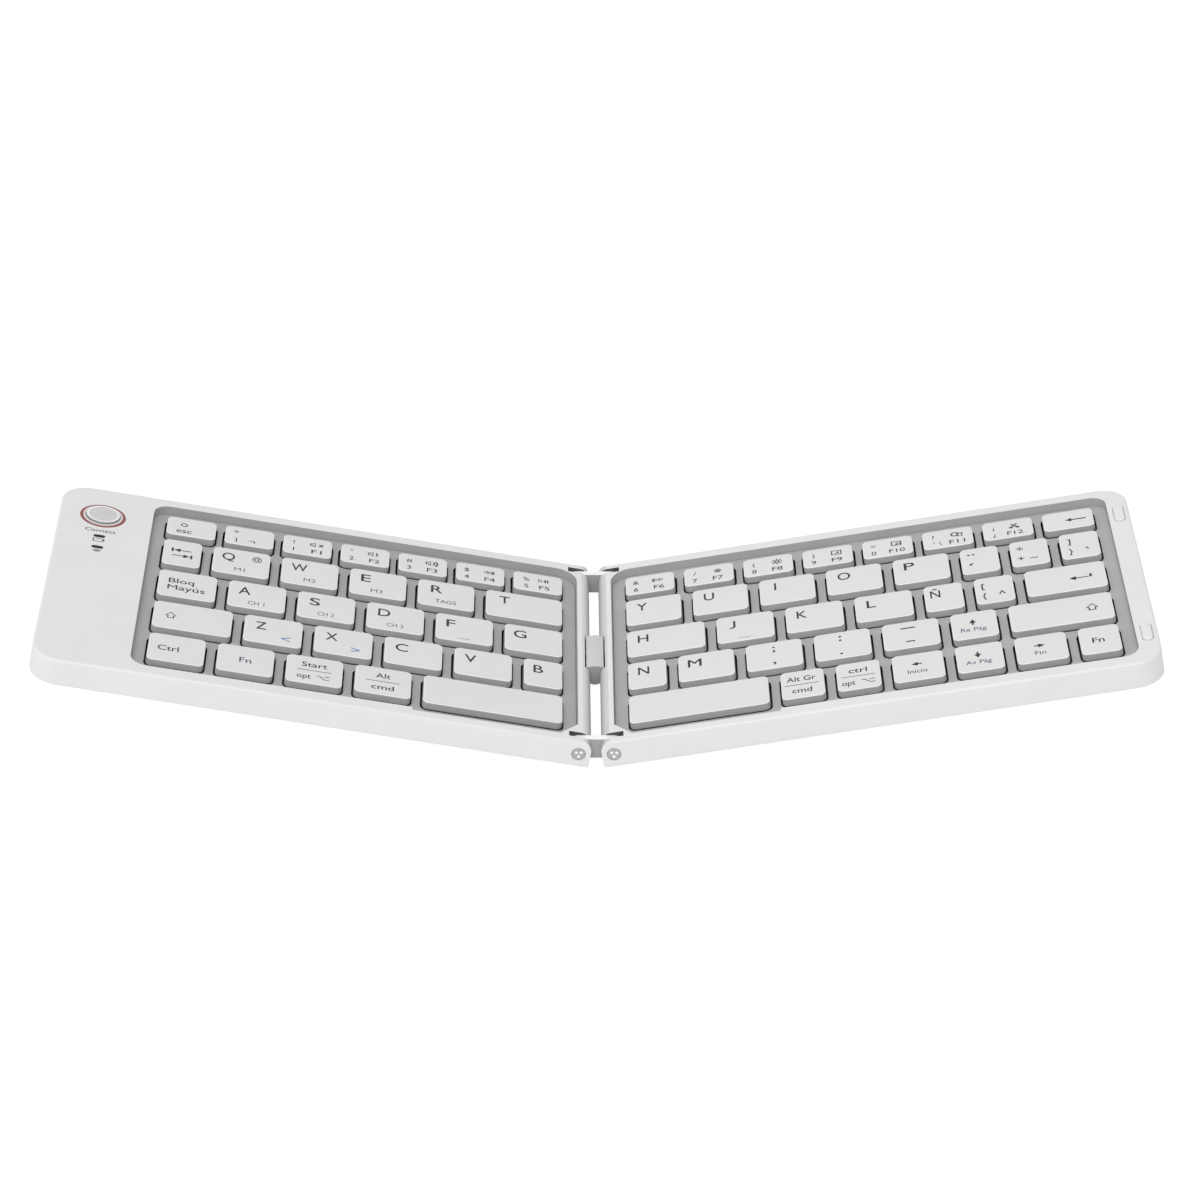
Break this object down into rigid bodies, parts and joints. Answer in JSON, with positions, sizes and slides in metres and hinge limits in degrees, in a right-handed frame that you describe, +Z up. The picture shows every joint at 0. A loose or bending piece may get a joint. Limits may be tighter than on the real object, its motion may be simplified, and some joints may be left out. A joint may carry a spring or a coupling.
{
  "type": "folding keyboard",
  "caption": "Pocket keyboard in two halves that fold face to face on a double-pin hinge, with low caps, a round connect button and indicator windows.",
  "frame": {"origin": "middle of the hinge and of the depth, at the height of the lowest edge of the partly folded keyboard", "axes": "+X towards the right half, +Y towards the back, +Z up; metres"},
  "size_m": [0.3022, 0.098, 0.0347],
  "materials": {
    "shell_white": "satin moulded shell",
    "deck_grey": "fine matt",
    "cap_white": "fine matt",
    "link_metal": "grey satin paint",
    "steel": "plain",
    "nickel": "nickel plate",
    "membrane_film": "printed film",
    "flex_film": "polyimide film",
    "dome_rubber": "silicone",
    "foot_rubber": "soft matt",
    "boot_rubber": "soft satin",
    "pad_white": "soft satin",
    "board_green": "solder mask",
    "battery_foil": "pouch foil",
    "lead_red": "insulation",
    "switch_black": "plain",
    "button_white": "satin",
    "ring_red": "satin",
    "lens_dark": "polished"
  },
  "bodies": {
    "hinge": {"front_link": "link_metal", "rear_link": "link_metal", "pivot_screws": "steel", "spring_washers": "steel", "cable_boot": "boot_rubber", "flex_cable": "flex_film"},
    "left_half": {"left_top_frame": "shell_white", "left_bottom_cover": "shell_white", "left_key_tray": "deck_grey", "left_steel_plate": "steel", "left_membrane": "membrane_film", "left_domes": "dome_rubber", "left_feet": "foot_rubber", "left_case_screws": "steel", "left_magnets": "nickel", "circuit_board": "board_green", "battery": "battery_foil", "battery_leads": "lead_red", "charging_socket": "steel", "tact_switch": "switch_black", "button_ring": "ring_red", "indicator_lenses": "lens_dark"},
    "right_half": {"right_top_frame": "shell_white", "right_bottom_cover": "shell_white", "right_key_tray": "deck_grey", "right_steel_plate": "steel", "right_membrane": "membrane_film", "right_domes": "dome_rubber", "right_feet": "foot_rubber", "right_case_screws": "steel", "right_magnets": "nickel", "buffer_pads": "pad_white"},
    "left_number_keys": {"left_number_keys": "cap_white"},
    "escape_key": {"escape_key": "cap_white"},
    "left_upper_letters": {"left_upper_letters": "cap_white"},
    "tab_key": {"tab_key": "cap_white"},
    "left_home_letters": {"left_home_letters": "cap_white"},
    "caps_lock_key": {"caps_lock_key": "cap_white"},
    "left_lower_letters": {"left_lower_letters": "cap_white"},
    "left_shift_key": {"left_shift_key": "cap_white"},
    "left_space_key": {"left_space_key": "cap_white"},
    "left_alt_key": {"left_alt_key": "cap_white"},
    "left_option_key": {"left_option_key": "cap_white"},
    "left_function_key": {"left_function_key": "cap_white"},
    "left_control_key": {"left_control_key": "cap_white"},
    "right_number_keys": {"right_number_keys": "cap_white"},
    "backspace_key": {"backspace_key": "cap_white"},
    "right_upper_letters": {"right_upper_letters": "cap_white"},
    "right_home_letters": {"right_home_letters": "cap_white"},
    "right_lower_letters": {"right_lower_letters": "cap_white"},
    "symbol_keys": {"symbol_keys": "cap_white"},
    "enter_key": {"enter_key": "cap_white"},
    "up_arrow_key": {"up_arrow_key": "cap_white"},
    "right_shift_key": {"right_shift_key": "cap_white"},
    "right_space_key": {"right_space_key": "cap_white"},
    "right_modifier_keys": {"right_modifier_keys": "cap_white"},
    "left_arrow_key": {"left_arrow_key": "cap_white"},
    "down_arrow_key": {"down_arrow_key": "cap_white"},
    "right_arrow_key": {"right_arrow_key": "cap_white"},
    "connect_button": {"connect_button": "button_white"}
  },
  "joints": [
    {"name": "left_fold", "type": "hinge", "parent": "hinge", "child": "left_half", "pos_m": [-0.00475, 0, 0.00436], "axis": [0, 1, 0], "range_deg": [-10.1, 79.9], "deforming": ["cable_boot"]},
    {"name": "right_fold", "type": "hinge", "parent": "hinge", "child": "right_half", "pos_m": [0.00475, 0, 0.00436], "axis": [0, -1, 0], "range_deg": [-10.1, 79.9], "deforming": ["flex_cable"]},
    {"name": "left_number_press", "type": "slide", "parent": "left_half", "child": "left_number_keys", "axis": [-0.1754, 0, -0.9845], "range_m": [0, 0.0014], "stiffness_N_per_m": 250, "deforming": ["left_domes"]},
    {"name": "escape_press", "type": "slide", "parent": "left_half", "child": "escape_key", "axis": [-0.1754, 0, -0.9845], "range_m": [0, 0.0014], "stiffness_N_per_m": 250},
    {"name": "left_upper_letters_press", "type": "slide", "parent": "left_half", "child": "left_upper_letters", "axis": [-0.1754, 0, -0.9845], "range_m": [0, 0.0014], "stiffness_N_per_m": 250},
    {"name": "tab_press", "type": "slide", "parent": "left_half", "child": "tab_key", "axis": [-0.1754, 0, -0.9845], "range_m": [0, 0.0014], "stiffness_N_per_m": 250},
    {"name": "left_home_letters_press", "type": "slide", "parent": "left_half", "child": "left_home_letters", "axis": [-0.1754, 0, -0.9845], "range_m": [0, 0.0014], "stiffness_N_per_m": 250},
    {"name": "caps_lock_press", "type": "slide", "parent": "left_half", "child": "caps_lock_key", "axis": [-0.1754, 0, -0.9845], "range_m": [0, 0.0014], "stiffness_N_per_m": 250},
    {"name": "left_lower_letters_press", "type": "slide", "parent": "left_half", "child": "left_lower_letters", "axis": [-0.1754, 0, -0.9845], "range_m": [0, 0.0014], "stiffness_N_per_m": 250},
    {"name": "left_shift_press", "type": "slide", "parent": "left_half", "child": "left_shift_key", "axis": [-0.1754, 0, -0.9845], "range_m": [0, 0.0014], "stiffness_N_per_m": 250},
    {"name": "left_space_press", "type": "slide", "parent": "left_half", "child": "left_space_key", "axis": [-0.1754, 0, -0.9845], "range_m": [0, 0.0014], "stiffness_N_per_m": 250},
    {"name": "left_alt_press", "type": "slide", "parent": "left_half", "child": "left_alt_key", "axis": [-0.1754, 0, -0.9845], "range_m": [0, 0.0014], "stiffness_N_per_m": 250},
    {"name": "left_option_press", "type": "slide", "parent": "left_half", "child": "left_option_key", "axis": [-0.1754, 0, -0.9845], "range_m": [0, 0.0014], "stiffness_N_per_m": 250},
    {"name": "left_function_press", "type": "slide", "parent": "left_half", "child": "left_function_key", "axis": [-0.1754, 0, -0.9845], "range_m": [0, 0.0014], "stiffness_N_per_m": 250},
    {"name": "left_control_press", "type": "slide", "parent": "left_half", "child": "left_control_key", "axis": [-0.1754, 0, -0.9845], "range_m": [0, 0.0014], "stiffness_N_per_m": 250},
    {"name": "right_number_press", "type": "slide", "parent": "right_half", "child": "right_number_keys", "axis": [0.1754, 0, -0.9845], "range_m": [0, 0.0014], "stiffness_N_per_m": 250, "deforming": ["right_domes"]},
    {"name": "backspace_press", "type": "slide", "parent": "right_half", "child": "backspace_key", "axis": [0.1754, 0, -0.9845], "range_m": [0, 0.0014], "stiffness_N_per_m": 250},
    {"name": "right_upper_letters_press", "type": "slide", "parent": "right_half", "child": "right_upper_letters", "axis": [0.1754, 0, -0.9845], "range_m": [0, 0.0014], "stiffness_N_per_m": 250},
    {"name": "right_home_letters_press", "type": "slide", "parent": "right_half", "child": "right_home_letters", "axis": [0.1754, 0, -0.9845], "range_m": [0, 0.0014], "stiffness_N_per_m": 250},
    {"name": "right_lower_letters_press", "type": "slide", "parent": "right_half", "child": "right_lower_letters", "axis": [0.1754, 0, -0.9845], "range_m": [0, 0.0014], "stiffness_N_per_m": 250},
    {"name": "symbol_press", "type": "slide", "parent": "right_half", "child": "symbol_keys", "axis": [0.1754, 0, -0.9845], "range_m": [0, 0.0014], "stiffness_N_per_m": 250},
    {"name": "enter_press", "type": "slide", "parent": "right_half", "child": "enter_key", "axis": [0.1754, 0, -0.9845], "range_m": [0, 0.0014], "stiffness_N_per_m": 250},
    {"name": "up_arrow_press", "type": "slide", "parent": "right_half", "child": "up_arrow_key", "axis": [0.1754, 0, -0.9845], "range_m": [0, 0.0014], "stiffness_N_per_m": 250},
    {"name": "right_shift_press", "type": "slide", "parent": "right_half", "child": "right_shift_key", "axis": [0.1754, 0, -0.9845], "range_m": [0, 0.0014], "stiffness_N_per_m": 250},
    {"name": "right_space_press", "type": "slide", "parent": "right_half", "child": "right_space_key", "axis": [0.1754, 0, -0.9845], "range_m": [0, 0.0014], "stiffness_N_per_m": 250},
    {"name": "right_modifier_press", "type": "slide", "parent": "right_half", "child": "right_modifier_keys", "axis": [0.1754, 0, -0.9845], "range_m": [0, 0.0014], "stiffness_N_per_m": 250},
    {"name": "left_arrow_press", "type": "slide", "parent": "right_half", "child": "left_arrow_key", "axis": [0.1754, 0, -0.9845], "range_m": [0, 0.0014], "stiffness_N_per_m": 250},
    {"name": "down_arrow_press", "type": "slide", "parent": "right_half", "child": "down_arrow_key", "axis": [0.1754, 0, -0.9845], "range_m": [0, 0.0014], "stiffness_N_per_m": 250},
    {"name": "right_arrow_press", "type": "slide", "parent": "right_half", "child": "right_arrow_key", "axis": [0.1754, 0, -0.9845], "range_m": [0, 0.0014], "stiffness_N_per_m": 250},
    {"name": "connect_press", "type": "slide", "parent": "left_half", "child": "connect_button", "axis": [-0.1754, 0, -0.9845], "range_m": [0, 0.0004], "stiffness_N_per_m": 600}
  ]
}
